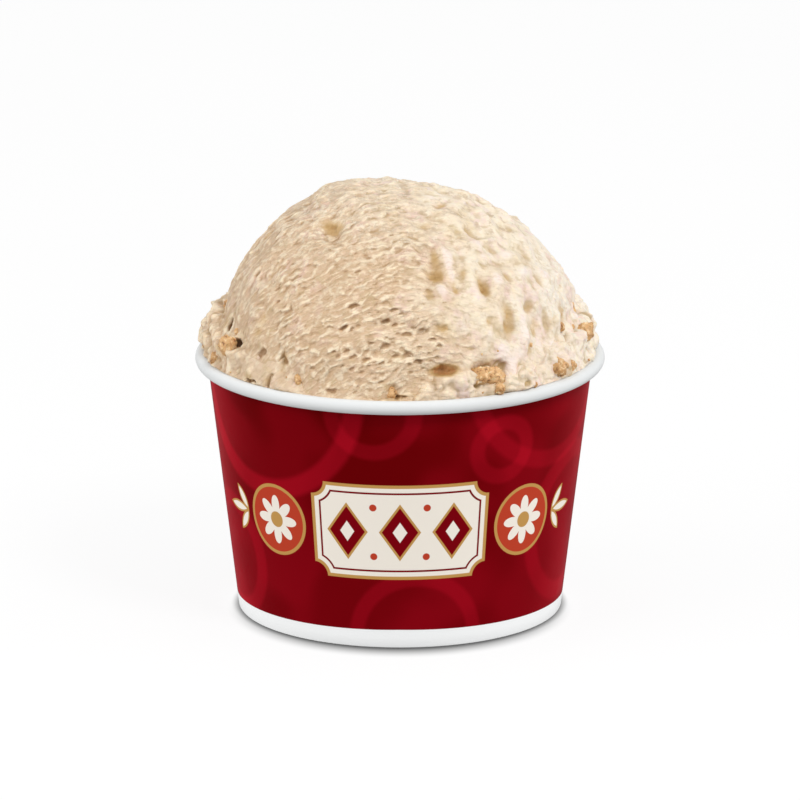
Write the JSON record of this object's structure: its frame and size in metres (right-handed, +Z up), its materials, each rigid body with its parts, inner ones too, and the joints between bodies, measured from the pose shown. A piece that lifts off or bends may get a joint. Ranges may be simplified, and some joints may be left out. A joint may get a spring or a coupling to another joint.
{
  "type": "cup of ice cream",
  "caption": "Tapered paper cup with a rolled rim and a recessed base, filled to the rim with ice cream that rises above it as a scooped dome with toffee crumbs.",
  "frame": {"origin": "centre of the cup's foot, on the plane it stands on", "axes": "+Z up along the cup's axis; -Y faces the viewer of the picture, +X is to their right"},
  "size_m": [0.095, 0.095, 0.1004],
  "materials": {
    "printed_paper": "semi-gloss coated board, printed deep red",
    "white_paper": "plain white board",
    "ice_cream": "tan and cream dairy ice with a scraped, slightly moist surface"
  },
  "bodies": {
    "root": {"cup_wall": "printed_paper", "cup_base": "white_paper", "ice_cream": "ice_cream"}
  },
  "joints": []
}
